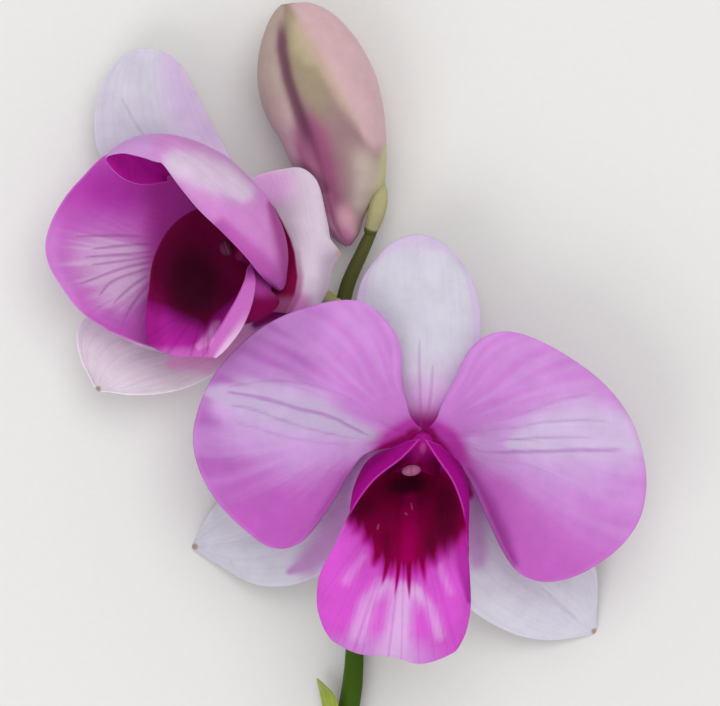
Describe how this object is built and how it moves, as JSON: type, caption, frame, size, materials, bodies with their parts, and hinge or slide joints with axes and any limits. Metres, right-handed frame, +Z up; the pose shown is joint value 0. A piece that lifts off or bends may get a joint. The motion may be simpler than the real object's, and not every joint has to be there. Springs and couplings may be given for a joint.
{
  "type": "cut dendrobium orchid spray",
  "caption": "Cut spray of a dendrobium orchid lying on its back: one open flower facing up, one half-open flower turned aside and a closed bud, on a bare stem",
  "frame": {"origin": "the middle of the spray's box in plan, on the surface it lies on", "axes": "+Y runs along the stem from its cut end to the bud, +Z points up out of the front flower's face, +X is to the right of someone looking down on it"},
  "size_m": [0.0996, 0.1389, 0.0343],
  "materials": {
    "sepal_tissue": "waxy satin, lavender-white",
    "petal_tissue": "waxy satin, pink-magenta with a pale middle band",
    "lip_tissue": "velvety, crimson throat and magenta blade",
    "column_tissue": "waxy satin, deep magenta",
    "anther_cap_tissue": "smooth satin, pale pink",
    "stem_tissue": "smooth satin, green",
    "bud_tissue": "waxy satin, olive-cream flushed with pink",
    "bract_tissue": "dry and papery, light green"
  },
  "bodies": {
    "root": {"bud": "bud_tissue", "bud_pedicel": "stem_tissue", "front_anther_cap": "anther_cap_tissue", "front_column": "column_tissue", "front_dorsal_sepal": "sepal_tissue", "front_lateral_sepal_left": "sepal_tissue", "front_lateral_sepal_right": "sepal_tissue", "front_lip": "lip_tissue", "front_pedicel": "stem_tissue", "front_petal_left": "petal_tissue", "front_petal_right": "petal_tissue", "lower_bract": "bract_tissue", "rachis": "stem_tissue", "side_anther_cap": "anther_cap_tissue", "side_column": "column_tissue", "side_dorsal_sepal": "sepal_tissue", "side_lateral_sepal_left": "sepal_tissue", "side_lateral_sepal_right": "sepal_tissue", "side_lip": "lip_tissue", "side_pedicel": "stem_tissue", "side_petal_left": "petal_tissue", "side_petal_right": "petal_tissue", "upper_bract": "bract_tissue"}
  },
  "joints": []
}
